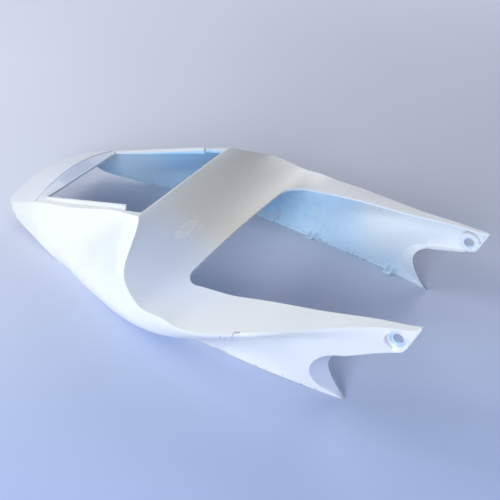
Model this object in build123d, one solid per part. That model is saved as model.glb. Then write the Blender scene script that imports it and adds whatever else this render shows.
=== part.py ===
"""Tail fairing of a sports motorcycle: one moulded white plastic shell.

Units are millimetres.  +X points forward, +Y to the left and +Z up.  The shell
stands on its lower rim, which lies in the plane Z = 0, and is the same on both
sides of the plane Y = 0.
"""
from build123d import *
import os
from math import radians, tan

# wall and edges
WALL = 3.0                      # thickness of the moulding
SKIN_DROP = 3.3                 # the same wall measured straight down through a sloping top
BEAD_WIDTH = 2.0                # thickened lower rim, inward from the wall
BEAD_HEIGHT = 4.0
REACH = 260.0                   # cutters run out past the widest place
BELOW = 12.0                    # cutters start this far below the rim

# places along the length, measured from the middle of the shell
REAR_END = -375.0               # face of the rear lip
REAR_HALF_WIDTH = 97.5
REAR_CORNER_RADIUS = 20.0
CREST_X = -60.0                 # sharp edge between passenger opening and saddle
SADDLE_EDGE_X = 37.0            # rear edge of the rider opening

# flank: at each station the points run from above the top skin down to the rim
# as (half width, height); the shell follows a smooth curve through them
FLANK = {
    -375.0: [(88.5, 78), (92, 62), (94.5, 47), (96, 33), (97, 20.5), (97, 9), (97, 0)],
    -345.0: [(86, 84), (94, 66), (97.5, 49.5), (100.5, 34), (101.5, 20.5), (101.5, 9), (101.5, 0)],
    -294.0: [(86, 92), (97.5, 70), (104.5, 53.5), (110, 37.5), (112.5, 21), (114, 9), (114.5, 0)],
    -236.0: [(88.5, 108), (101.5, 88), (112, 69.5), (122.5, 46), (130.5, 26.5), (131.5, 11), (130, 0)],
    -165.0: [(92, 131), (105.5, 111.5), (121, 89.5), (144, 61.5), (160.5, 35), (156, 15), (142.5, 0)],
    -100.0: [(95, 149), (107.5, 133.5), (132, 112), (167.5, 81.5), (187, 46), (176, 18), (150, 0)],
    -60.0: [(99, 156), (111.5, 146.5), (145, 123.5), (183, 93.5), (201, 51), (185.5, 19.5), (152.5, 0)],
    -30.0: [(108, 156.5), (127.5, 143.5), (160.5, 122), (195, 97.5), (210, 54), (190.5, 21), (154, 0)],
    10.0: [(130, 148), (156, 130), (182.5, 111.5), (208, 88.5), (216.5, 56.5), (191, 23.5), (154, 0)],
    55.0: [(151, 129), (178, 113), (199, 98), (214, 81), (213, 58.5), (184, 26.5), (153.5, 0)],
    103.0: [(160.5, 122.5), (185.5, 107.5), (202.5, 96), (211.5, 83), (201, 63.5), (171.5, 34), (152, 0)],
    153.0: [(158.5, 125.5), (176.5, 112), (189.5, 102.5), (197, 93), (181.5, 74.5), (159.5, 46.5), (149.5, 0)],
    199.0: [(150, 133), (163, 121), (171.5, 113), (178.7, 105.7), (164.5, 87), (151, 61), (146.5, 0)],
    236.0: [(141, 142), (150, 131), (156, 124), (162, 117), (152.5, 99.5), (146, 75), (143, 0)],
    276.0: [(131, 151), (137.5, 142), (141.5, 135), (145, 128), (142, 111.5), (140, 89.5), (138.5, 0)],
    311.0: [(123, 158), (127.5, 150), (130.5, 143.5), (132.5, 137), (132, 121), (131.5, 100), (131.5, 0)],
    343.0: [(116, 165), (119.5, 157.5), (122, 151), (123, 145.5), (124.5, 130), (124, 110), (124, 0)],
    377.0: [(107.6, 172.4), (110, 165), (112, 159), (113.6, 153.5), (115.6, 138.5), (116.6, 118.5), (116.6, 0)],
}

# top skins: at each station the height on the middle line and the fall to the
# sides, as (middle height, fall at 100 mm from the middle line)
TAIL_TOP = {
    -375.0: (57.5, 19.8),
    -340.0: (71.6, 19.8),
    -303.0: (86.0, 19.8),
    -236.0: (103.0, 14.3),
    -170.0: (120.0, 8.5),
    -110.0: (134.5, 3.5),
    -60.0: (145.0, 0.0),
}
SADDLE_TOP = {
    -60.0: (145.0, 0.0),
    -48.0: (135.5, 1.5),
    -36.0: (126.0, 4.5),
    -20.0: (114.5, 4.0),
    6.0: (101.5, 3.3),
    37.0: (96.5, 3.1),
    69.0: (107.5, 5.5),
    103.0: (118.0, 7.8),
    153.0: (130.5, 9.5),
    199.0: (140.0, 10.9),
    276.0: (152.0, 11.5),
    330.0: (161.0, 11.5),
    377.0: (168.3, 11.5),
}

# rider opening, open to the front, as half widths
RIDER_CORNER_RADIUS = 28.0
RIDER_HALF_WIDTH = 143.5        # at its widest, beside the saddle
RIDER_BEND_X = 125.0            # the arms draw together forward of here
RIDER_TIP_HALF_WIDTH = 109.0    # between the arm tips
RIDER_BEND_RADIUS = 160.0

# passenger opening: its ledge, its upstanding flanges and the hole itself
LEDGE_REAR_X = -304.0           # crease where the tail turns down to the rear ledge
LEDGE_REAR_HALF_WIDTH = 94.0
LEDGE_FRONT_HALF_WIDTH = 104.5
LEDGE_DEPTH = 1.5
OPENING_REAR_X = -286.5         # straight front edge of the rear ledge
OPENING_REAR_HEIGHT = 74.3
OPENING_REAR_HALF_WIDTH = 84.0
OPENING_FRONT_HALF_WIDTH = 96.0
OPENING_FRONT_LAND = 3.0        # strip left behind the crest
STEP_X = -98.0                  # the side flanges stop here and the hole gets wider
STEP_WIDTH = 5.5
FLANGE_THICKNESS = 2.5
FLANGE_HEIGHT = 8.0
FLANGE_REAR_X = -282.0

# lower edge at the rear, rising to the lip, as (distance, height)
REAR_RISE = [(-223.0, 0.0), (-268.0, 4.0), (-316.0, 9.0), (-343.0, 15.0), (-361.0, 26.0), (-376.0, 44.0)]

# front end of each side, seen from the side as (distance, height)
FIN_TIP = (294.0, 0.0)
NOTCH = [(284.5, 10.5), (276.5, 22.0), (268.5, 37.0), (265.8, 52.0), (270.0, 65.0), (278.0, 73.5)]
ARM_LOWER_START = (289.0, 80.5)
ARM_LOWER_CORNER = (358.5, 112.0)
ARM_TIP = (375.75, 156.0)
ARM_CORNER_RADIUS = 14.0

# inturned band round the notch: its outer crease, seen from the side
CREASE = [(269.0, 0.8), (254.5, 5.0), (243.5, 17.0), (239.5, 32.0), (243.5, 49.0), (257.0, 68.0)]
CREASE_HALF_WIDTH = 146.0       # where the outer crease lies
BAND_DEPTH = 13.0               # how far the band turns inward
BAND_SHIFT = 3.2                # wall of the band measured across the shell

# fixing hole at the end of each arm
HOLE_X = 348.5
HOLE_Z = 126.0
HOLE_RADIUS = 7.0
RECESS_RADIUS = 11.0
RECESS_DEPTH = 3.0
BOSS_RADIUS = 15.0
BOSS_HEIGHT = 5.0               # from the inner face of the wall
HOLE_HALF_WIDTH = 122.0         # outer face of the arm at the hole


def flank_section(x, inset, drop):
    """Closed outline across the shell at x, moved inward by inset on each side."""
    points = FLANK[x]
    shifted = []
    for index, (half_width, height) in enumerate(points):
        before = points[max(index - 1, 0)]
        after = points[min(index + 1, len(points) - 1)]
        run = Vector(after[0] - before[0], after[1] - before[1]).normalized()
        shifted.append((half_width + inset * run.Y, height - inset * run.X))
    shifted[-1] = (shifted[-1][0], 0.0)
    left = [Vector(x, w, h) for w, h in shifted]
    right = [Vector(x, -w, h) for w, h in shifted]
    corners = [left[-1], right[-1]]
    if drop:
        fall = Vector(0, 0, drop)
        corners = [left[-1], left[-1] - fall, right[-1] - fall, right[-1]]
    foot = [Line(a, b) for a, b in zip(corners, corners[1:])]
    return Face(Wire([Spline(*left), *foot, Spline(*reversed(right)), Line(right[0], left[0])]))


def hull(inset=0.0, drop=0.0):
    """Solid between the two flanks."""
    return loft([flank_section(x, inset, drop) for x in FLANK])


def top_solid(stations, lower=0.0):
    """Everything under one of the top skins, moved down by lower."""
    sections = []
    for x, (middle, fall) in stations.items():
        crown = [Vector(x, side * REACH, middle - fall * (side * REACH / 100.0) ** 2 - lower)
                 for side in (-1, -0.5, 0, 0.5, 1)]
        left_foot = Vector(x, REACH, -REACH)
        right_foot = Vector(x, -REACH, -REACH)
        outline = Wire([Spline(*crown), Line(crown[-1], left_foot),
                        Line(left_foot, right_foot), Line(right_foot, crown[0])])
        sections.append(Face(outline))
    return loft(sections)


def side_prism(edges):
    """Solid across the whole width from a closed outline drawn in side view."""
    return extrude(Face(Wire(edges)), amount=REACH, dir=(0, 1, 0), both=True)


def side(point):
    """Point of a side view, on the middle plane."""
    return Vector(point[0], 0, point[1])


def plan_prism(edges, low=-BELOW, high=REACH):
    """Solid from a closed outline drawn in plan view."""
    return extrude(Pos(0, 0, low) * Face(Wire(edges)), amount=high - low, dir=(0, 0, 1))


def plan_polygon(half_outline):
    """Closed outline from (distance, half width) points, the same on both sides."""
    left = [Vector(x, w, 0) for x, w in half_outline]
    right = [Vector(x, -w, 0) for x, w in reversed(half_outline)]
    return list(Polyline(*left, *right, close=True).edges())


def rear_plan(inset=0.0):
    """Plan of the rear end with its two rounded corners, open towards the front."""
    end = REAR_END + inset
    radius = REAR_CORNER_RADIUS
    straight = REAR_HALF_WIDTH - radius
    centre_x = REAR_END + radius
    half = []
    for sign in (1, -1):
        centre = Vector(centre_x, sign * straight, 0)
        half.append((Vector(end, sign * straight, 0),
                     centre + Vector(-1, sign, 0).normalized() * (radius - inset),
                     centre + Vector(0, sign * (radius - inset), 0)))
    left, right = half
    front_left = Vector(2 * REACH, REACH, 0)
    front_right = Vector(2 * REACH, -REACH, 0)
    wide_left = Vector(REAR_END + 2 * REAR_HALF_WIDTH, REACH, 0)
    wide_right = Vector(REAR_END + 2 * REAR_HALF_WIDTH, -REACH, 0)
    edges = [Line(right[0], left[0]), ThreePointArc(*left), Line(left[2], wide_left),
             Line(wide_left, front_left), Line(front_left, front_right),
             Line(front_right, wide_right), Line(wide_right, right[2]),
             ThreePointArc(*reversed(right))]
    return plan_prism(edges)


def body(hull_solid, lower=0.0, rear_inset=0.0):
    """Closed body between the flanks and under the top skins."""
    tail = top_solid(TAIL_TOP, lower)
    ledge_plan = plan_prism(plan_polygon([
        (LEDGE_REAR_X - rear_inset, LEDGE_REAR_HALF_WIDTH + rear_inset),
        (CREST_X - OPENING_FRONT_LAND, LEDGE_FRONT_HALF_WIDTH + rear_inset)]))
    tail -= ledge_plan - top_solid(TAIL_TOP, lower + LEDGE_DEPTH)
    return hull_solid & (tail + top_solid(SADDLE_TOP, lower)) & rear_plan(rear_inset)


def rider_opening():
    """Cutter for the opening between the arms, open to the front."""
    tip_x = ARM_TIP[0] + 40.0
    slope = (RIDER_TIP_HALF_WIDTH - RIDER_HALF_WIDTH) / (ARM_TIP[0] - RIDER_BEND_X)
    tip_half = RIDER_TIP_HALF_WIDTH + slope * 40.0
    outline = Polyline((SADDLE_EDGE_X, -RIDER_HALF_WIDTH), (SADDLE_EDGE_X, RIDER_HALF_WIDTH),
                       (RIDER_BEND_X, RIDER_HALF_WIDTH), (tip_x, tip_half),
                       (tip_x, -tip_half), (RIDER_BEND_X, -RIDER_HALF_WIDTH), close=True)
    plan = make_face(outline.edges())
    corners = plan.vertices().filter_by_position(Axis.X, SADDLE_EDGE_X - 1, SADDLE_EDGE_X + 1)
    plan = fillet(corners, RIDER_CORNER_RADIUS)
    bends = plan.vertices().filter_by_position(Axis.X, RIDER_BEND_X - 1, RIDER_BEND_X + 1)
    plan = fillet(bends, RIDER_BEND_RADIUS)
    return extrude(Pos(0, 0, -BELOW) * plan, amount=REACH)


def opening_half_width(x):
    """Half width of the passenger opening at x, on its straight tapering sides."""
    share = (x - OPENING_REAR_X) / (STEP_X - OPENING_REAR_X)
    return OPENING_REAR_HALF_WIDTH + share * (OPENING_FRONT_HALF_WIDTH - OPENING_REAR_HALF_WIDTH)


def passenger_opening():
    """Cutter for the passenger opening, wider in front of the side flanges."""
    front = CREST_X - OPENING_FRONT_LAND
    return plan_prism(plan_polygon([
        (OPENING_REAR_X, opening_half_width(OPENING_REAR_X)),
        (STEP_X, opening_half_width(STEP_X)),
        (STEP_X, opening_half_width(STEP_X) + STEP_WIDTH),
        (front, opening_half_width(STEP_X) + STEP_WIDTH)]))


def side_flange():
    """Upstanding flange along the left side of the passenger opening."""
    corners = [Vector(x, opening_half_width(x) + out, 0)
               for x, out in ((FLANGE_REAR_X, 0), (STEP_X, 0),
                              (STEP_X, FLANGE_THICKNESS), (FLANGE_REAR_X, FLANGE_THICKNESS))]
    strip = plan_prism(list(Polyline(*corners, close=True).edges()))
    top = top_solid(TAIL_TOP, LEDGE_DEPTH - FLANGE_HEIGHT)
    foot = top_solid(TAIL_TOP, LEDGE_DEPTH + SKIN_DROP)
    return (strip & top) - foot


def tail_height(x, y):
    """Height of the tail's top skin, between its stations."""
    stations = list(TAIL_TOP.items())
    for (x0, (m0, f0)), (x1, (m1, f1)) in zip(stations, stations[1:]):
        if x0 <= x <= x1:
            share = (x - x0) / (x1 - x0)
            middle = m0 + share * (m1 - m0)
            fall = f0 + share * (f1 - f0)
            return middle - fall * (y / 100.0) ** 2
    return 0.0


def rear_ledge():
    """Ledge that slopes from the crowned tail down to a straight edge."""
    half = LEDGE_REAR_HALF_WIDTH + 1.0
    sections = []
    for x, flat in ((LEDGE_REAR_X - 0.5, None), (OPENING_REAR_X, OPENING_REAR_HEIGHT)):
        upper = []
        for y in (-half, -half / 2, 0, half / 2, half):
            height = tail_height(x, y) if flat is None else flat
            upper.append(Vector(x, y, height))
        lower = [p - Vector(0, 0, SKIN_DROP) for p in reversed(upper)]
        outline = Wire([Spline(*upper), Line(upper[-1], lower[0]), Spline(*lower),
                        Line(lower[-1], upper[0])])
        sections.append(Face(outline))
    return loft(sections, ruled=True)


def front_cutter():
    """Everything in front of and below the arms, apart from the notches."""
    tip = side(ARM_TIP)
    corner = side(ARM_LOWER_CORNER)
    start = side(ARM_LOWER_START)
    along = (corner - start).normalized()
    up = (tip - corner).normalized()
    cut_back = ARM_CORNER_RADIUS * tan(radians(along.get_angle(up) / 2))
    arc = TangentArc(corner - along * cut_back, corner + up * cut_back, tangent=along)
    over_tip = tip + up * REACH / 4
    far_top = Vector(2 * REACH, 0, over_tip.Z)
    far_low = Vector(2 * REACH, 0, -BELOW)
    ahead_of_fin = Vector(FIN_TIP[0] + BELOW, 0, -BELOW)
    edges = [Line(ahead_of_fin, start), Line(start, arc @ 0), arc, Line(arc @ 1, over_tip),
             Line(over_tip, far_top), Line(far_top, far_low), Line(far_low, ahead_of_fin)]
    return side_prism(edges)


def notch_face(points, half_width):
    """Notch outline seen from the side, closed in front, at one half width."""
    fin = side(FIN_TIP)
    below_fin = Vector(FIN_TIP[0] + 1.0, 0, -BELOW)
    join = side(ARM_LOWER_START)
    ahead_top = Vector(join.X + 4 * BELOW, 0, join.Z + BELOW)
    ahead_low = Vector(join.X + 4 * BELOW, 0, -BELOW)
    edges = [Spline(fin, *[side(p) for p in points], join), Line(join, ahead_top),
             Line(ahead_top, ahead_low), Line(ahead_low, below_fin), Line(below_fin, fin)]
    return Pos(0, half_width, 0) * Face(Wire(edges))


def notch_solid(shift=0.0, through=0.0):
    """Dished notch on the left side: the crease outside, the edge inside."""
    outside = CREASE_HALF_WIDTH - shift
    inside = outside - BAND_DEPTH
    crease = notch_face(CREASE, outside)
    edge = notch_face(NOTCH, inside)
    dish = loft([crease, edge], ruled=True) + extrude(crease, amount=REACH / 4, dir=(0, 1, 0))
    if through:
        dish += extrude(edge, amount=through, dir=(0, -1, 0))
    return dish


def fixing_boss():
    """Round boss behind the fixing hole of the left arm."""
    top = HOLE_HALF_WIDTH - 1.0
    depth = WALL + BOSS_HEIGHT
    boss = Pos(HOLE_X, top - depth, HOLE_Z) * Rot(-90, 0, 0) * Cylinder(
        BOSS_RADIUS, depth, align=(Align.CENTER, Align.CENTER, Align.MIN))
    return boss


def fixing_hole():
    """Hole and outer recess of the left arm."""
    bore = Pos(HOLE_X, HOLE_HALF_WIDTH, HOLE_Z) * Rot(-90, 0, 0) * Cylinder(HOLE_RADIUS, 40.0)
    recess = Pos(HOLE_X, HOLE_HALF_WIDTH - RECESS_DEPTH, HOLE_Z) * Rot(-90, 0, 0) * Cylinder(
        RECESS_RADIUS, 30.0, align=(Align.CENTER, Align.CENTER, Align.MIN))
    return bore + recess


def both_sides(solid):
    """The solid and its mirror image on the right side."""
    return solid + mirror(solid, Plane.XZ)


outer = body(hull())
inner = body(hull(WALL, BELOW), SKIN_DROP, WALL)
shell = outer - inner

rise = [side(p) for p in REAR_RISE]
rear_low = side((REAR_RISE[-1][0] - 20.0, REAR_RISE[-1][1] + 20.0))
rear_bottom = side((REAR_RISE[-1][0] - 20.0, -BELOW))
front_bottom = side((REAR_RISE[0][0], -BELOW))
rise_edges = [Spline(*rise, tangents=[(-1, 0, 0), (-0.5, 0, 1)]), Line(rise[-1], rear_low),
              Line(rear_low, rear_bottom), Line(rear_bottom, front_bottom),
              Line(front_bottom, rise[0])]
rear_cut = side_prism(rise_edges)
bead_top = Pos(0, 0, BEAD_HEIGHT) * (rear_cut + Pos(0, 0, -BELOW / 2) * Box(
    3 * REACH, 2 * REACH, BELOW))
bead_core = hull(WALL + BEAD_WIDTH, BELOW)
bead = (outer & bead_top) - bead_core
shell += bead
shell -= rider_opening()
shell -= passenger_opening()
shell += (rear_ledge() & outer) + both_sides(side_flange())
shell -= rear_cut
shell -= front_cutter()

notch = notch_solid(through=2 * BAND_DEPTH)
band = (notch_solid(BAND_SHIFT) - notch) & outer
shell -= both_sides(notch)
shell += both_sides(band)
shell += both_sides(fixing_boss())
shell -= both_sides(fixing_hole())
os.makedirs("parts", exist_ok=True)
export_step(shell, "parts/tail_fairing.step")
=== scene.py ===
import bmesh
import bpy
from collections import namedtuple
from math import cos, pi, radians, sin
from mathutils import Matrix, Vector
from mathutils.kdtree import KDTree


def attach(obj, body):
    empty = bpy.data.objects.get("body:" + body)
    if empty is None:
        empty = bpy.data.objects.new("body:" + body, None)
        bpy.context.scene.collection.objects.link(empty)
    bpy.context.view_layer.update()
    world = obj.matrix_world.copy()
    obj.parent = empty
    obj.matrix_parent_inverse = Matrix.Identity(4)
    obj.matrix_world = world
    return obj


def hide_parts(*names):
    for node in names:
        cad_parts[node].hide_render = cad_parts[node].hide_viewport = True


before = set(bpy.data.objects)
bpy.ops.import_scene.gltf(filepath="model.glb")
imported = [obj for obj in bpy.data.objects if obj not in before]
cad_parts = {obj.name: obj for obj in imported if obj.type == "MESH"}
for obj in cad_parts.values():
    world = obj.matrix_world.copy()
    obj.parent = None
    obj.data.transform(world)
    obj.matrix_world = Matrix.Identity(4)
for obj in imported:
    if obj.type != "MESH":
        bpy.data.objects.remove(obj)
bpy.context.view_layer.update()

scene = bpy.context.scene
scene.view_settings.view_transform = "Standard"

MM = 0.001

# finishes of the shell and of the backdrop, and colours of painted shade on them
PAINT = (0.80, 0.805, 0.80)
PAINT_AGED = (0.745, 0.755, 0.76)
# painted warm shade over the upper saddle
PAINTED_WARM_SHADE = (0.66, 0.62, 0.54)
# painted bluish shade on the shoulder channel, rear ledge and tail
PAINTED_COOL_SHADE = (0.66, 0.73, 0.88)
# bare bluish plastic of the inner faces, partly painted bluish shade
INSIDE_AND_SHADE = (0.44, 0.71, 0.95)
INSIDE_DARK_AND_SHADE = (0.37, 0.63, 0.87)
# painted grey shade on the forward-facing band round the notch
BAND_SHADE = (0.40, 0.44, 0.58)
# painted bluish shade inside the cups round the fixing holes
CUP_SHADE = (0.40, 0.57, 0.84)
GRIME = (0.17, 0.20, 0.25)
RUBBED = (0.93, 0.91, 0.86)
SMEAR = (0.62, 0.65, 0.69)
PAPER_PALE = (0.72, 0.75, 0.85)
# painted shade on the paper, deeper towards the right and bluer towards the camera
PAPER_PAINTED_SHADE = (0.57, 0.60, 0.69)
PAPER_PAINTED_BLUE_SHADE = (0.42, 0.52, 0.80)

# oval marks on the shell, in metres, with how softly they end and how strongly they show
Spot = namedtuple("Spot", "centre size soft strength")
# painted warm shade over the upper saddle
SADDLE_PAINTED_SHADE = Spot((-0.005, 0.05, 0.10), (0.08, 0.15, 0.07), 0.6, 0.8)
# painted bluish shade in the channel under the near shoulder, on the rear ledge and on the tail
SHOULDER_PAINTED_SHADE = Spot((0.0, -0.135, 0.10), (0.10, 0.075, 0.06), 0.5, 0.7)
LEDGE_PAINTED_SHADE = Spot((-0.295, 0.0, 0.08), (0.0125, 0.088, 0.03), 0.5, 0.7)
TAIL_PAINTED_SHADE = Spot((-0.350, 0.0, 0.06), (0.05, 0.10, 0.05), 0.5, 0.35)
# painted bluish shade in the cup round each fixing hole
CUP_PAINTED_SHADE = Spot((0.3485, 0.1165, 0.126), (0.0128, 0.0045, 0.0128), 0.15, 0.8)
RUB_RING = Spot((-0.015, -0.064, 0.110), (0.0062, 0.022, 0.02), 0.45, 0.26)
RUB_PATCH = Spot((-0.005, -0.044, 0.106), (0.004, 0.0075, 0.02), 0.45, 0.3)
TAIL_SMUDGE = Spot((-0.334, -0.077, 0.061), (0.022, 0.013, 0.02), 0.7, 0.5)
STAIN = Spot((0.050, 0.181, 0.028), (0.045, 0.03, 0.03), 0.8, 0.4)
SPECKS = Spot((0.19, 0.15, 0.055), (0.085, 0.05, 0.04), 0.6, 0.6)
SPECKS_ELSEWHERE = 0.12             # strength of the specks over the rest of the shell
RING_INNER = (0.55, 0.85)           # where the ring starts, as a share of its oval
RING_OUTER = (1.0, 1.25)            # where it ends
RING_STRENGTH = 0.34

# fine marks on the near side, as lines in side view, so their place across is nought
CRACKS = [
    ((0.1588, 0.0, 0.0959), (0.1654, 0.0, 0.0977)),
    ((0.1588, 0.0, 0.0959), (0.1528, 0.0, 0.0780)),
    ((0.1420, 0.0, 0.0868), (0.1326, 0.0, 0.0544)),
    ((0.1326, 0.0, 0.0544), (0.1409, 0.0, 0.0542)),
]
CRACK_WIDTH = 0.0006
CRACK_STRENGTH = 0.6
SCRATCHES = [
    ((0.2718, 0.0, 0.1283), (0.3161, 0.0, 0.1381)),
    ((0.2560, 0.0, 0.0285), (0.2640, 0.0, 0.0265)),
]
SCRATCH_WIDTH = 0.00035
SCRATCH_STRENGTH = 0.35
NEAR_SIDE = (-0.125, -0.115)        # they end over this stretch of the place across
NEAR_TURN = (0.0, 0.1)              # and lie on faces that look outward

# which way a face looks, from minus one to one
INNER_TURN = (-0.45, -0.2)          # towards the middle plane, so it is bare and takes the painted bluish shade
UNDER_TURN = (-0.9, -0.7)           # straight down, so it is bare and takes the painted bluish shade
LEVEL_TURN = (0.85, 0.95)           # straight up, so it is painted
BAND_SHADE_TURN = (0.12, 0.3)             # forward, as the band round the notch does; its shade is painted

# where the bare inside with its painted shade, the band's painted shade and the rim's grime end, their
# places in metres
BARE_AND_SHADE_FADE = (0.15, 0.35)            # the bare inside and its painted shade fade forward and upward
BARE_AND_SHADE_RISE = 1.5
BARE_AND_SHADE_LEFT = 0.22                    # share that is left beyond it
PAINT_OVER_FLANGE = (-0.007, -0.004)
NOTCH_CENTRE = (0.2826, 0.0, 0.040)
NOTCH_RADIUS = 0.0405
NOTCH_SOFT = 0.0015
BAND_SHADE_TOP = (0.077, 0.081)
BAND_SHADE_STRENGTH = 0.85
RIM_GRIME = (0.0015, 0.007)
RIM_GRIME_STRENGTH = 0.55

# random patterns, with the span of each that shows as a mark
Pattern = namedtuple("Pattern", "scale detail roughness")
BROAD = Pattern(6.0, 2.0, 0.5)
FINE = Pattern(420.0, 4.0, 0.65)
GRAIN = Pattern(230.0, 5.0, 0.7)
SPECK_DOTS = Pattern(260.0, 2.0, 0.5)
SMUDGE_CLOUD = Pattern(90.0, 3.0, 0.5)
STAIN_CLOUD = Pattern(55.0, 4.0, 0.5)
GRIME_CLOUD = Pattern(75.0, 4.0, 0.7)
PAPER_MOTTLE = Pattern(3.0, 2.0, 0.5)
PAPER_FIBRE = Pattern(900.0, 3.0, 0.5)
AGED_SPAN = (0.4, 0.7)
FINE_SPAN = (0.52, 0.72)
FINE_STRENGTH = 0.16
GRAIN_SPAN = (0.42, 0.68)
THIN_PAINT_SPAN = (0.35, 0.65)
THIN_PAINT_STRENGTH = 0.35
RUB_SPAN = (0.35, 0.6)
SPECK_SPAN = (0.70, 0.76)
SMUDGE_SPAN = (0.35, 0.7)
STAIN_SPAN = (0.5, 0.62)
GRIME_SPAN = (0.56, 0.64)

# gloss and fine relief of the shell
ROUGHNESS = 0.30
ROUGHNESS_FINE = 0.14
ROUGHNESS_BARE = 0.25
ROUGHNESS_WORN = 0.25
PLASTIC_IOR = 1.48
RELIEF = 0.0006
RELIEF_STRENGTH = 0.35
RELIEF_FINE = 0.12
RELIEF_BROAD = 0.8
RELIEF_GRAIN = 0.6
RELIEF_CRACKS = 0.7

# sizes of the finer forms, down to the slots, are in millimetres

# rear ledge: crease of the crowned tail, and the straight edge that it slopes down to
LEDGE_CREASE_X = -304.0
LEDGE_CREASE_HEIGHT = 85.3          # on the middle line
LEDGE_CREASE_FALL = 19.8            # at LEDGE_FALL_WIDTH from it
LEDGE_FALL_WIDTH = 100.0
LEDGE_EDGE_X = -286.4
LEDGE_EDGE_HEIGHT = 73.9
LEDGE_HALF_WIDTH = 90.0
LEDGE_STEPS = 16
LEDGE_CUT_TOP = 130.0

# lip along the ledge's edge, with a block at each end
LIP_WIDTH = 2.0
LIP_HEIGHT = 1.3
LIP_HALF_LENGTH = 84.0
LIP_ROOT = 2.0                      # how deep lip and blocks reach into the ledge
BLOCK_REAR_X = -289.0
BLOCK_LENGTH = 4.0
BLOCK_WIDTH = 5.0
BLOCK_HEIGHT = 3.0

# straight top line of the upstanding side flanges, as (distance, height)
FLANGE_TOP = ((-290.0, 76.3), (-90.0, 143.6))
FLANGE_CUT = (-285.6, -96.0)        # from where to where they are trimmed
FLANGE_CUT_BAND = (82.5, 102.0)     # half widths that the trim covers
FLANGE_CUT_RISE = 30.0

# lower edge and end of the arms, seen from the side as (distance, height)
ARM_EDGE = [(284.0, 78.2), (300.0, 85.5), (345.0, 105.9), (355.0, 110.6), (361.5, 117.5),
            (366.0, 128.5), (374.6, 152.5)]
ARM_EDGE_OUT = [136.8, 133.3, 123.0, 121.2, 120.0, 118.0, 113.6]
ARM_EDGE_IN = [128.5, 124.0, 116.0, 113.6, 112.0, 111.0, 109.0]
ARM_FLANGE_WALL = 2.8
ARM_TRIM = 0.3                      # the trimmed boss stands this much proud of the arm's edge
ARM_CUT_CORNERS = [(390.0, 152.5), (390.0, 70.0), (300.0, 70.0)]
ARM_CUT_BAND = (104.0, 136.0)

# cup round each fixing hole
HOLE = (348.5, 122.0, 126.0)
CUP_MOUTH = 12.7
CUP_BOTTOM = 10.0
CUP_DEPTH = 5.5
CUP_CUT_START = 8.0                 # the taper goes on this far outside the arm
CUP_CUT_FLARE = 3.9                 # and its radius there is this much more than the mouth's
CUP_CORNERS = 48

# ribs inside the lower rim: distance, free half width, and the points on the wall
RIM_FOOT = 0.2                      # ribs and tabs start this high
RIB_THICKNESS = 2.0
RIB_LEAN = 0.3
RIBS = [
    (71.5, 142.0, [(159.5, 12.0), (153.5, 5.0), (151.2, RIM_FOOT)]),
    (81.5, 142.0, [(158.0, 12.0), (152.6, 5.0), (150.6, RIM_FOOT)]),
    (157.0, 143.0, [(147.0, 14.0), (146.5, 7.0), (146.0, RIM_FOOT)]),
    (220.5, 130.5, [(142.8, 14.5), (142.6, 6.0), (141.2, RIM_FOOT)]),
    (230.5, 130.5, [(142.6, 14.5), (142.2, 6.0), (140.6, RIM_FOOT)]),
    (-191.0, 131.0, [(144.6, 19.0), (141.0, 8.0), (136.0, RIM_FOOT)]),
    (0.0, 148.0, [(177.0, 15.0), (166.0, 6.5), (153.5, RIM_FOOT)]),
]

# tabs between the paired ribs, as distances and half widths, and slots, as distances
TABS = [((70.5, 82.5), (142.0, 151.0)), ((219.5, 231.5), (130.5, 140.6))]
TAB_THICKNESS = 2.2
SLOTS = [(95.0, 117.0), (-209.0, -199.0), (-236.0, -226.0)]
SLOT_HEIGHTS = (1.8, 3.8)
SLOT_CUT_BAND = (100.0, 200.0)

# surface of the reshaped shell: points this close, in metres, are the same
MERGE_DISTANCE = 1e-6
SAME_POINT = 2e-6
SMOOTH_ANGLE = 28                   # in degrees
SMOOTH_LIMIT = 0.88                 # least agreement of a face with the smooth surface

# backdrop paper, its runs across and towards the camera in metres
PAPER_SIZE = 14
PAPER_HEIGHT = -0.0005
# painted shade on the paper deepens along these runs
PAPER_ACROSS = (0.84, 0.55)
PAPER_ACROSS_SPAN = (-0.6, 0.6)
PAPER_NEARER = (0.55, -0.84)
PAPER_NEARER_SPAN = (-0.3, 0.6)
PAPER_MOTTLE_STRENGTH = 0.2
PAPER_FIBRE_STRENGTH = 0.06
PAPER_FIBRE_SPAN = (0.3, 0.7)
PAPER_ROUGHNESS = (0.85, 0.95)
PAPER_RELIEF = 0.0003
PAPER_RELIEF_STRENGTH = 0.1

# light: each lamp's name, place, target, size, power and colour
SURROUND_COLOUR = (0.74, 0.82, 1.0, 1)
SURROUND_STRENGTH = 0.33
LAMPS = [
    ("key", (-2.0, -0.6, 1.2), (-0.02, -0.05, 0.06), 1.1, 25, (1.0, 0.985, 0.965)),
    ("near_fill", (0.45, -2.2, 0.95), (0.15, -0.05, 0.05), 1.2, 45, (0.88, 0.94, 1.0)),
    ("far_fill", (-0.7, 2.8, 1.3), (-0.1, 1.5, 0.0), 1.6, 34, (0.99, 0.985, 1.0)),
]

# camera at the photograph's angle, its turn in degrees, sensor and lens in millimetres
CAMERA_PLACE = (0.5844, -0.7975, 0.8082)
CAMERA_TURN = (51.976, 0, 33.57)
CAMERA_SENSOR = 36
CAMERA_LENS = 57.6


def material(name):
    """New node material, its node tree and its main shader."""
    made = bpy.data.materials.new(name)
    made.use_nodes = True
    tree = made.node_tree
    return made, tree, tree.nodes["Principled BSDF"]


def feed(tree, socket, value):
    """Set a socket to a constant, or link it to another node's output."""
    if isinstance(value, bpy.types.NodeSocket):
        tree.links.new(value, socket)
    elif isinstance(value, tuple) and socket.type == "RGBA":
        socket.default_value = (*value, 1)
    else:
        socket.default_value = value


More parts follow.
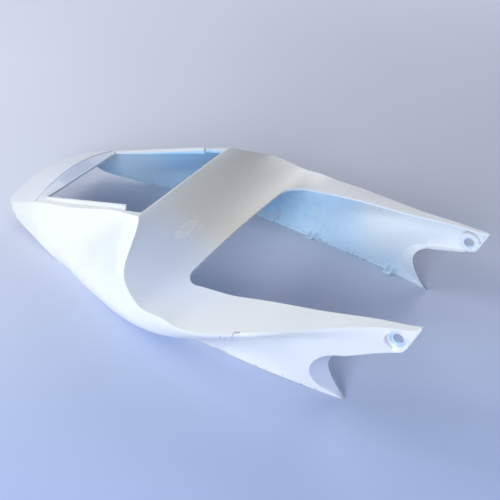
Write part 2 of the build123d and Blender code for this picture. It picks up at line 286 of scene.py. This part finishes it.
def calc(tree, operation, first, second=0.0, clamp=False):
    """Simple step on numbers."""
    node = tree.nodes.new("ShaderNodeMath")
    node.operation = operation
    node.use_clamp = clamp
    feed(tree, node.inputs[0], first)
    feed(tree, node.inputs[1], second)
    return node.outputs[0]


def plus(tree, first, second):
    """Sum of two numbers."""
    return calc(tree, "ADD", first, second)


def times(tree, first, second):
    """Product of two numbers."""
    return calc(tree, "MULTIPLY", first, second)


def most(tree, values):
    """Largest of several numbers."""
    result = values[0]
    for value in values[1:]:
        result = calc(tree, "MAXIMUM", result, value)
    return result


def vector(tree, operation, first, second):
    """Simple step on two vectors."""
    node = tree.nodes.new("ShaderNodeVectorMath")
    node.operation = operation
    feed(tree, node.inputs[0], first)
    feed(tree, node.inputs[1], second)
    single = operation in ("DOT_PRODUCT", "LENGTH", "DISTANCE")
    return node.outputs["Value" if single else "Vector"]


def parts_of(tree, value):
    """The three parts of a vector."""
    node = tree.nodes.new("ShaderNodeSeparateXYZ")
    feed(tree, node.inputs[0], value)
    return node.outputs["X"], node.outputs["Y"], node.outputs["Z"]


def between(tree, value, low, high, to_low=0.0, to_high=1.0):
    """Value brought from the range low to high into a new range, and kept in it."""
    node = tree.nodes.new("ShaderNodeMapRange")
    node.interpolation_type = "SMOOTHSTEP"
    for name, number in (("Value", value), ("From Min", low), ("From Max", high),
                         ("To Min", to_low), ("To Max", to_high)):
        feed(tree, node.inputs[name], number)
    return node.outputs["Result"]


def below(tree, value, span):
    """One under a span of values, falling to nought over it."""
    return between(tree, value, *span, 1.0, 0.0)


def cloud(tree, place, pattern):
    """Soft random pattern."""
    node = tree.nodes.new("ShaderNodeTexNoise")
    feed(tree, node.inputs["Vector"], place)
    feed(tree, node.inputs["Scale"], pattern.scale)
    feed(tree, node.inputs["Detail"], pattern.detail)
    feed(tree, node.inputs["Roughness"], pattern.roughness)
    return node.outputs["Fac"]


def blend(tree, share, first, second):
    """Colour between two others."""
    node = tree.nodes.new("ShaderNodeMix")
    node.data_type = "RGBA"
    feed(tree, node.inputs["Factor"], share)
    feed(tree, node.inputs["A"], first)
    feed(tree, node.inputs["B"], second)
    return next(socket for socket in node.outputs if socket.type == "RGBA")


def laid_over(tree, colour, share, strength, over):
    """Colour with another laid over it, as far as share and strength say."""
    return blend(tree, times(tree, share, strength), colour, over)


def patch(tree, place, spot):
    """One inside an oval spot, falling to nought outside it; also the oval distance."""
    offset = vector(tree, "SUBTRACT", place, spot.centre)
    scaled = vector(tree, "DIVIDE", offset, spot.size)
    distance = vector(tree, "LENGTH", scaled, (0, 0, 0))
    return below(tree, distance, (1.0 - spot.soft, 1.0 + spot.soft)), distance


def stroke(tree, place, line, width):
    """One on a thin straight mark from one point to another."""
    start, end = line
    run = Vector(end) - Vector(start)
    offset = vector(tree, "SUBTRACT", place, start)
    share = calc(tree, "MULTIPLY", vector(tree, "DOT_PRODUCT", offset, tuple(run)),
                 1 / run.length_squared, clamp=True)
    scale = tree.nodes.new("ShaderNodeVectorMath")
    scale.operation = "SCALE"
    scale.inputs[0].default_value = run
    feed(tree, scale.inputs["Scale"], share)
    distance = vector(tree, "DISTANCE", offset, scale.outputs["Vector"])
    return below(tree, distance, (width * 0.5, width * 1.5))


def relief(tree, shader, height, depth, strength):
    """Fine relief on a surface."""
    bump = tree.nodes.new("ShaderNodeBump")
    bump.inputs["Strength"].default_value = strength
    bump.inputs["Distance"].default_value = depth
    feed(tree, bump.inputs["Height"], height)
    feed(tree, shader.inputs["Normal"], bump.outputs["Normal"])


def flange_line():
    """Rear end of the side flanges' top line, and its slope."""
    (rear, low), (front, high) = FLANGE_TOP
    return rear, low, (high - low) / (front - rear)


def bare_and_shade_share(tree, x, z, outward, turn_z):
    """One on the bare inner faces, which look towards the middle plane or downward and take the
    painted bluish shade.
    """
    side_on = times(tree, below(tree, outward, INNER_TURN), below(tree, turn_z, LEVEL_TURN))
    bare_and_shade = calc(tree, "MAXIMUM", side_on, below(tree, turn_z, UNDER_TURN))

    # it fades towards the arms
    forward = plus(tree, x, times(tree, z, BARE_AND_SHADE_RISE))
    bare_and_shade = times(tree, bare_and_shade, between(tree, forward, *BARE_AND_SHADE_FADE, 1.0, BARE_AND_SHADE_LEFT))

    # the paint runs a little way over the top edge of the side flanges
    rear, low, slope = flange_line()
    line = plus(tree, times(tree, x, slope), (low - slope * rear) * MM)
    above = calc(tree, "SUBTRACT", z, line)
    return times(tree, bare_and_shade, below(tree, above, PAINT_OVER_FLANGE))


def band_shade_share(tree, side_view, z, turn_x):
    """One on the turned-in band round the notch, which faces forward and gets painted grey shade."""
    distance = vector(tree, "DISTANCE", side_view, NOTCH_CENTRE)
    band_shade = below(tree, distance, (NOTCH_RADIUS, NOTCH_RADIUS + NOTCH_SOFT))
    band_shade = times(tree, band_shade, between(tree, turn_x, *BAND_SHADE_TURN))
    return times(tree, band_shade, below(tree, z, BAND_SHADE_TOP))


def paint_and_shade_colour(tree, place, broad, fine):
    """White paint, with painted warm shade over the upper saddle and painted bluish shade on the
    shaded forms and in the cups.
    """
    paint = blend(tree, between(tree, broad, *AGED_SPAN), PAINT, PAINT_AGED)
    # painted warm shade over the upper saddle
    saddle_shade, _ = patch(tree, place, SADDLE_PAINTED_SHADE)
    paint = laid_over(tree, paint, saddle_shade, SADDLE_PAINTED_SHADE.strength, PAINTED_WARM_SHADE)
    # painted bluish shade on the shoulder channel, rear ledge and tail
    for spot in (SHOULDER_PAINTED_SHADE, LEDGE_PAINTED_SHADE, TAIL_PAINTED_SHADE):
        cool_shade, _ = patch(tree, place, spot)
        paint = laid_over(tree, paint, cool_shade, spot.strength, PAINTED_COOL_SHADE)
    # painted bluish shade in the cups, on both sides
    mirrored = vector(tree, "ABSOLUTE", place, (0, 0, 0))
    cup_painted_shade, _ = patch(tree, mirrored, CUP_PAINTED_SHADE)
    paint = laid_over(tree, paint, cup_painted_shade, CUP_PAINTED_SHADE.strength, CUP_SHADE)
    return laid_over(tree, paint, between(tree, fine, *FINE_SPAN), FINE_STRENGTH, SMEAR)


def bare_and_shade_colour(tree, broad, grain):
    """Bluish bare plastic, partly painted bluish shade, with paint mist here and there."""
    bare_and_shade = blend(tree, between(tree, grain, *GRAIN_SPAN), INSIDE_AND_SHADE, INSIDE_DARK_AND_SHADE)
    return laid_over(tree, bare_and_shade, between(tree, broad, *THIN_PAINT_SPAN), THIN_PAINT_STRENGTH, PAINT)


def saddle_rub(tree, place, grain):
    """Share of the rubbed ring and patch on the saddle."""
    fill, distance = patch(tree, place, RUB_RING)
    ring = calc(tree, "SUBTRACT", between(tree, distance, *RING_INNER),
                between(tree, distance, *RING_OUTER), clamp=True)
    rub = plus(tree, times(tree, ring, RING_STRENGTH), times(tree, fill, RUB_RING.strength))
    second, _ = patch(tree, place, RUB_PATCH)
    rub = most(tree, [rub, times(tree, second, RUB_PATCH.strength)])
    return times(tree, rub, between(tree, grain, *RUB_SPAN))


def clouded(tree, place, share, pattern, span):
    """Share broken up by a random pattern."""
    return times(tree, share, between(tree, cloud(tree, place, pattern), *span))


def painted_plastic():
    """White paint outside, bare bluish plastic inside, the wear of the real shell, and painted shade
    on its shaded forms and inner faces.
    """
    made, tree, shader = material("painted_white_plastic")
    place = tree.nodes.new("ShaderNodeTexCoord").outputs["Object"]
    x, y, z = parts_of(tree, place)
    normal = tree.nodes.new("ShaderNodeNewGeometry").outputs["Normal"]
    turn_x, turn_y, turn_z = parts_of(tree, normal)
    outward = times(tree, calc(tree, "SIGN", y), turn_y)
    side_view = vector(tree, "MULTIPLY", place, (1.0, 0.0, 1.0))
    broad = cloud(tree, place, BROAD)
    fine = cloud(tree, place, FINE)
    grain = cloud(tree, place, GRAIN)

    # paint, bare plastic with its painted bluish shade, and the painted shade of the band
    bare_and_shade = bare_and_shade_share(tree, x, z, outward, turn_z)
    colour = blend(tree, bare_and_shade, paint_and_shade_colour(tree, place, broad, fine), bare_and_shade_colour(tree, broad, grain))
    band_shade = band_shade_share(tree, side_view, z, turn_x)
    colour = laid_over(tree, colour, band_shade, BAND_SHADE_STRENGTH, BAND_SHADE)

    # rubbed marks on the saddle, smudge on the tail
    rub = saddle_rub(tree, place, grain)
    colour = blend(tree, rub, colour, RUBBED)
    smudge, _ = patch(tree, place, TAIL_SMUDGE)
    smudge = clouded(tree, place, smudge, SMUDGE_CLOUD, SMUDGE_SPAN)
    colour = laid_over(tree, colour, smudge, TAIL_SMUDGE.strength, SMEAR)

    # stain and specks inside, grime along the lower rim
    stain, _ = patch(tree, place, STAIN)
    stain = clouded(tree, place, stain, STAIN_CLOUD, STAIN_SPAN)
    colour = laid_over(tree, colour, stain, STAIN.strength, INSIDE_DARK_AND_SHADE)
    specks, _ = patch(tree, place, SPECKS)
    specks = calc(tree, "MAXIMUM", specks, SPECKS_ELSEWHERE)
    specks = clouded(tree, place, specks, SPECK_DOTS, SPECK_SPAN)
    colour = laid_over(tree, colour, specks, SPECKS.strength, GRIME)
    dirt = clouded(tree, place, below(tree, z, RIM_GRIME), GRIME_CLOUD, GRIME_SPAN)
    colour = laid_over(tree, colour, dirt, RIM_GRIME_STRENGTH, GRIME)

    # cracks at the near shoulder, thin scratches
    near_side = times(tree, below(tree, y, NEAR_SIDE), between(tree, outward, *NEAR_TURN))
    cracks = most(tree, [stroke(tree, side_view, line, CRACK_WIDTH) for line in CRACKS])
    cracks = times(tree, cracks, near_side)
    scratches = most(tree, [stroke(tree, side_view, line, SCRATCH_WIDTH) for line in SCRATCHES])
    scratches = times(tree, scratches, near_side)
    colour = laid_over(tree, colour, cracks, CRACK_STRENGTH, GRIME)
    colour = laid_over(tree, colour, scratches, SCRATCH_STRENGTH, SMEAR)
    feed(tree, shader.inputs["Base Color"], colour)

    gloss = plus(tree, ROUGHNESS, times(tree, fine, ROUGHNESS_FINE))
    gloss = plus(tree, gloss, times(tree, bare_and_shade, ROUGHNESS_BARE))
    gloss = plus(tree, gloss, times(tree, most(tree, [rub, dirt, smudge]), ROUGHNESS_WORN))
    feed(tree, shader.inputs["Roughness"], gloss)
    shader.inputs["IOR"].default_value = PLASTIC_IOR

    height = plus(tree, times(tree, fine, RELIEF_FINE), times(tree, broad, RELIEF_BROAD))
    height = plus(tree, height, times(tree, times(tree, grain, bare_and_shade), RELIEF_GRAIN))
    open_marks = times(tree, most(tree, [cracks, scratches]), RELIEF_CRACKS)
    height = calc(tree, "SUBTRACT", height, open_marks)
    relief(tree, shader, height, RELIEF, RELIEF_STRENGTH)
    return made


def paper():
    """Pale backdrop paper, with painted shade deepening towards the right and painted bluish shade
    towards the camera.
    """
    made, tree, shader = material("pale_backdrop_paper")
    place = tree.nodes.new("ShaderNodeTexCoord").outputs["Object"]
    x, y, _ = parts_of(tree, place)
    # painted shade on the paper, deeper across to the right and bluer towards the camera
    across = plus(tree, times(tree, x, PAPER_ACROSS[0]), times(tree, y, PAPER_ACROSS[1]))
    mottle = times(tree, cloud(tree, place, PAPER_MOTTLE), PAPER_MOTTLE_STRENGTH)
    share = plus(tree, between(tree, across, *PAPER_ACROSS_SPAN), mottle)
    colour = blend(tree, share, PAPER_PALE, PAPER_PAINTED_SHADE)
    nearer = plus(tree, times(tree, x, PAPER_NEARER[0]), times(tree, y, PAPER_NEARER[1]))
    colour = blend(tree, between(tree, nearer, *PAPER_NEARER_SPAN), colour, PAPER_PAINTED_BLUE_SHADE)
    fibre = cloud(tree, place, PAPER_FIBRE)
    colour = laid_over(tree, colour, fibre, PAPER_FIBRE_STRENGTH, SMEAR)
    feed(tree, shader.inputs["Base Color"], colour)
    gloss = between(tree, fibre, *PAPER_FIBRE_SPAN, *PAPER_ROUGHNESS)
    feed(tree, shader.inputs["Roughness"], gloss)
    relief(tree, shader, fibre, PAPER_RELIEF, PAPER_RELIEF_STRENGTH)
    return made


def solid_from(name, points, faces):
    """Closed mesh object from points in millimetres."""
    mesh = bpy.data.meshes.new(name)
    mesh.from_pydata([tuple(value * MM for value in point) for point in points], [], faces)
    work = bmesh.new()
    work.from_mesh(mesh)
    bmesh.ops.recalc_face_normals(work, faces=work.faces)
    work.to_mesh(mesh)
    work.free()
    return bpy.data.objects.new(name, mesh)


def lofted(name, rings):
    """Closed solid through rings of points, one after another."""
    count = len(rings[0])
    points = [point for ring in rings for point in ring]
    faces = [tuple(range(count)), tuple(range(len(points) - count, len(points)))]
    for row in range(len(rings) - 1):
        for index in range(count):
            after = (index + 1) % count
            faces.append((row * count + index, row * count + after,
                          (row + 1) * count + after, (row + 1) * count + index))
    return solid_from(name, points, faces)


def block(name, low, high):
    """Box between two corners."""
    x0, y0, z0 = low
    x1, y1, z1 = high
    ring = [(y0, z0), (y1, z0), (y1, z1), (y0, z1)]
    return lofted(name, [[(x, y, z) for y, z in ring] for x in (x0, x1)])


def side_block(name, side, distances, half_widths, heights):
    """Box on one side of the shell."""
    rear, front = distances
    right, left = sorted(side * width for width in half_widths)
    low, high = heights
    return block(name, (rear, right, low), (front, left, high))


def ledge_height(share, y):
    """Height of the rear ledge, from its crease to its straight edge."""
    crease = LEDGE_CREASE_HEIGHT - LEDGE_CREASE_FALL * (y / LEDGE_FALL_WIDTH) ** 2
    return crease + share * (LEDGE_EDGE_HEIGHT - crease)


def above_ledge():
    """Everything above the sloping rear ledge, to be cut away."""
    rings = []
    for index in range(LEDGE_STEPS + 1):
        y = LEDGE_HALF_WIDTH * (2 * index / LEDGE_STEPS - 1)
        rings.append([(LEDGE_CREASE_X, y, ledge_height(0, y)), (LEDGE_EDGE_X, y, ledge_height(1, y)),
                      (LEDGE_EDGE_X, y, LEDGE_CUT_TOP), (LEDGE_CREASE_X, y, LEDGE_CUT_TOP)])
    return lofted("above_ledge", rings)


def above_flange(side):
    """Everything above the straight top line of one side flange."""
    rear, low, slope = flange_line()
    near, far = FLANGE_CUT_BAND
    rings = []
    for x in FLANGE_CUT:
        height = low + slope * (x - rear)
        top = height + FLANGE_CUT_RISE
        rings.append([(x, side * near, height), (x, side * far, height),
                      (x, side * far, top), (x, side * near, top)])
    return lofted("above_flange", rings)


def outside_arm(side):
    """Everything below and in front of one arm's end."""
    outline = [(x + ARM_TRIM, z - ARM_TRIM) for x, z in ARM_EDGE] + ARM_CUT_CORNERS
    return lofted("outside_arm", [[(x, side * y, z) for x, z in outline] for y in ARM_CUT_BAND])


def arm_flange(side):
    """Flange along one arm's lower edge and end, turned inward."""
    rings = []
    last = len(ARM_EDGE) - 1
    for index, (x, z) in enumerate(ARM_EDGE):
        before = Vector(ARM_EDGE[max(index - 1, 0)])
        after = Vector(ARM_EDGE[min(index + 1, last)])
        run = (after - before).normalized()
        inner_x = x - run.y * ARM_FLANGE_WALL
        inner_z = z + run.x * ARM_FLANGE_WALL
        out = side * ARM_EDGE_OUT[index]
        into = side * ARM_EDGE_IN[index]
        rings.append([(x, out, z), (x, into, z), (inner_x, into, inner_z), (inner_x, out, inner_z)])
    return lofted("arm_flange", rings)


def cup_room(side):
    """Tapered room of the cup round one fixing hole."""
    x, y, z = HOLE
    rings = []
    for depth, radius in ((-CUP_CUT_START, CUP_MOUTH + CUP_CUT_FLARE), (CUP_DEPTH, CUP_BOTTOM)):
        turns = [2 * pi * index / CUP_CORNERS for index in range(CUP_CORNERS)]
        rings.append([(x + radius * cos(turn), side * (y - depth), z + radius * sin(turn))
                      for turn in turns])
    return lofted("cup_room", rings)


def rib(side, place, free, wall):
    """Upright rib from the rim up to where it runs out on the wall."""
    outline = [(free, RIM_FOOT), (free, TAB_THICKNESS)] + wall
    rings = []
    for half in (-RIB_THICKNESS / 2, RIB_THICKNESS / 2):
        rings.append([(place + half + RIB_LEAN * (width - free), side * width, height)
                      for width, height in outline])
    return lofted("rib", rings)


def lip():
    """Thin lip along the straight edge of the rear ledge."""
    return block("lip", (LEDGE_EDGE_X - LIP_WIDTH, -LIP_HALF_LENGTH, LEDGE_EDGE_HEIGHT - LIP_ROOT),
                 (LEDGE_EDGE_X, LIP_HALF_LENGTH, LEDGE_EDGE_HEIGHT + LIP_HEIGHT))


def ledge_block(side):
    """Small block at one end of the lip."""
    return side_block("ledge_block", side, (BLOCK_REAR_X, BLOCK_REAR_X + BLOCK_LENGTH),
                      (LIP_HALF_LENGTH - BLOCK_WIDTH, LIP_HALF_LENGTH),
                      (LEDGE_EDGE_HEIGHT - LIP_ROOT, LEDGE_EDGE_HEIGHT + BLOCK_HEIGHT))


def reshape(shell, additions, cuts):
    """Fuse the additions into the shell and take the cuts out of it."""
    for operation, pieces in (("UNION", additions), ("DIFFERENCE", cuts)):
        for piece in pieces:
            scene.collection.objects.link(piece)
            step = shell.modifiers.new("step", "BOOLEAN")
            step.operation = operation
            step.solver = "EXACT"
            step.object = piece
            depsgraph = bpy.context.evaluated_depsgraph_get()
            mesh = bpy.data.meshes.new_from_object(shell.evaluated_get(depsgraph))
            shell.modifiers.clear()
            shell.data = mesh
            bpy.data.objects.remove(piece)


def merged_copy(source):
    """Copy of a CAD piece, its loose triangles joined at their corners."""
    mesh = source.data.copy()
    work = bmesh.new()
    work.from_mesh(mesh)
    bmesh.ops.remove_doubles(work, verts=work.verts, dist=MERGE_DISTANCE)
    work.to_mesh(mesh)
    work.free()
    copy = bpy.data.objects.new("tail_shell", mesh)
    scene.collection.objects.link(copy)
    return copy


def tail_shell():
    """Copy of the moulding with its finer forms, fused into one closed mesh."""
    shell = merged_copy(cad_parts["tail_fairing"])
    cuts = [above_ledge()]
    additions = [lip()]
    for side in (1, -1):
        cuts += [above_flange(side), outside_arm(side)]
        cuts += [side_block("slot", side, slot, SLOT_CUT_BAND, SLOT_HEIGHTS) for slot in SLOTS]
        additions += [ledge_block(side), arm_flange(side)]
        additions += [side_block("tab", side, distances, half_widths, (RIM_FOOT, TAB_THICKNESS))
                      for distances, half_widths in TABS]
        additions += [rib(side, *sizes) for sizes in RIBS]
    reshape(shell, [], cuts)
    reshape(shell, additions, [cup_room(1), cup_room(-1)])
    return shell


def keep_curvature(shell, source):
    """Give unchanged corners the smooth normals of the CAD surface again."""
    corners = source.corner_normals
    known = KDTree(len(source.vertices))
    for vertex in source.vertices:
        known.insert(vertex.co, vertex.index)
    known.balance()
    fans = [[] for _ in source.vertices]
    for corner, loop in enumerate(source.loops):
        fans[loop.vertex_index].append(corners[corner].vector)
    mesh = shell.data
    matches = {}
    normals = []
    for face in mesh.polygons:
        for corner in face.loop_indices:
            index = mesh.loops[corner].vertex_index
            if index not in matches:
                found = known.find_range(mesh.vertices[index].co, SAME_POINT)
                matches[index] = [normal for _, old, _ in found for normal in fans[old]]
            best = max(matches[index], key=face.normal.dot, default=None)
            if best is None or best.dot(face.normal) < SMOOTH_LIMIT:
                best = mesh.corner_normals[corner].vector
            normals.append(best.copy())
    mesh.normals_split_custom_set(normals)


def lamp(name, place, target, size, power, colour):
    """Large square soft light that faces target."""
    data = bpy.data.lights.new(name, "AREA")
    data.shape = "SQUARE"
    data.size = size
    data.energy = power
    data.color = colour
    light = bpy.data.objects.new(name, data)
    light.location = place
    light.rotation_euler = (Vector(target) - Vector(place)).to_track_quat("-Z", "Y").to_euler()
    scene.collection.objects.link(light)


# shell
plastic = painted_plastic()
shell = tail_shell()
shell.data.materials.clear()
shell.data.materials.append(plastic)
bpy.context.view_layer.objects.active = shell
shell.select_set(True)
bpy.ops.object.shade_smooth_by_angle(angle=radians(SMOOTH_ANGLE))
keep_curvature(shell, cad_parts["tail_fairing"].data)
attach(shell, "root")
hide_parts("tail_fairing")

# backdrop
bpy.ops.mesh.primitive_plane_add(size=PAPER_SIZE, location=(0, 0, PAPER_HEIGHT))
floor = bpy.context.object
floor.name = "floor"
floor.data.materials.append(paper())

# light
world = bpy.data.worlds.new("soft_surround")
world.use_nodes = True
surround = world.node_tree.nodes["Background"]
surround.inputs["Color"].default_value = SURROUND_COLOUR
surround.inputs["Strength"].default_value = SURROUND_STRENGTH
scene.world = world
for setup in LAMPS:
    lamp(*setup)

# camera
lens = bpy.data.cameras.new("camera")
lens.sensor_width = CAMERA_SENSOR
lens.lens = CAMERA_LENS
camera = bpy.data.objects.new("camera", lens)
camera.location = CAMERA_PLACE
camera.rotation_euler = [radians(turn) for turn in CAMERA_TURN]
scene.collection.objects.link(camera)
scene.camera = camera
